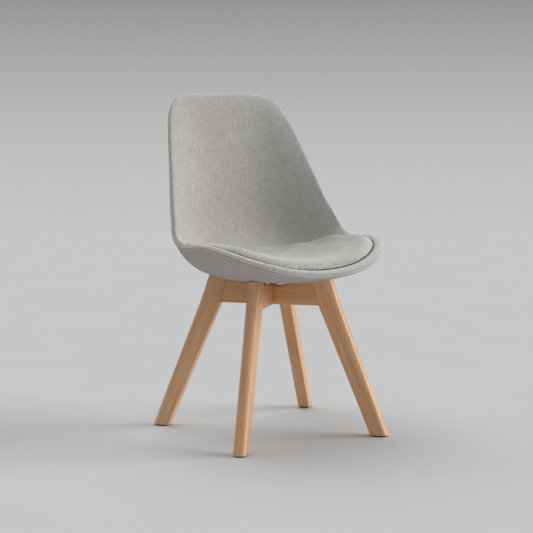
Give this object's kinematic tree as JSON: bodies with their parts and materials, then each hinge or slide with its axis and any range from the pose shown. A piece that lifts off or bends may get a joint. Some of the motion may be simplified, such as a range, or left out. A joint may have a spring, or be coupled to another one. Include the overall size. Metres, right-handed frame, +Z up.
{
  "type": "upholstered dining chair",
  "caption": "Bucket-shell dining chair in grey linen weave with a crowned seat pad, on crossed wooden rails with splayed tapered legs.",
  "frame": {"origin": "middle of the bounding box on the floor, in the chair's middle plane", "axes": "+Z up, the chair's front faces -Y, the sitter's left hand is +X"},
  "size_m": [0.4834, 0.5249, 0.8252],
  "materials": {
    "linen": "matte woven linen with fine slubs",
    "under_cloth": "smooth matte cloth",
    "foam": "open-cell foam",
    "shell_plastic": "moulded, matte",
    "beech": "satin clear lacquer",
    "dowel_wood": "plain",
    "foot_rubber": "matte",
    "steel": "zinc plated",
    "brass": "plain"
  },
  "bodies": {
    "root": {"shell_core": "shell_plastic", "inner_foam": "foam", "inner_cover": "linen", "outer_cover": "under_cloth", "pad_foam": "foam", "pad_cover": "linen", "rail_upper": "beech", "rail_lower": "beech", "lap_screw": "steel", "leg_rear_left": "beech", "foot_pad_rear_left": "foot_rubber", "shell_screw_rear_left": "steel", "screw_washer_rear_left": "steel", "shell_spacer_rear_left": "foot_rubber", "shell_insert_rear_left": "brass", "dowel_rear_left_low": "dowel_wood", "dowel_rear_left_high": "dowel_wood", "leg_rear_right": "beech", "foot_pad_rear_right": "foot_rubber", "shell_screw_rear_right": "steel", "screw_washer_rear_right": "steel", "shell_spacer_rear_right": "foot_rubber", "shell_insert_rear_right": "brass", "dowel_rear_right_low": "dowel_wood", "dowel_rear_right_high": "dowel_wood", "leg_front_right": "beech", "foot_pad_front_right": "foot_rubber", "shell_screw_front_right": "steel", "screw_washer_front_right": "steel", "shell_spacer_front_right": "foot_rubber", "shell_insert_front_right": "brass", "dowel_front_right_low": "dowel_wood", "dowel_front_right_high": "dowel_wood", "leg_front_left": "beech", "foot_pad_front_left": "foot_rubber", "shell_screw_front_left": "steel", "screw_washer_front_left": "steel", "shell_spacer_front_left": "foot_rubber", "shell_insert_front_left": "brass", "dowel_front_left_low": "dowel_wood", "dowel_front_left_high": "dowel_wood"}
  },
  "joints": []
}
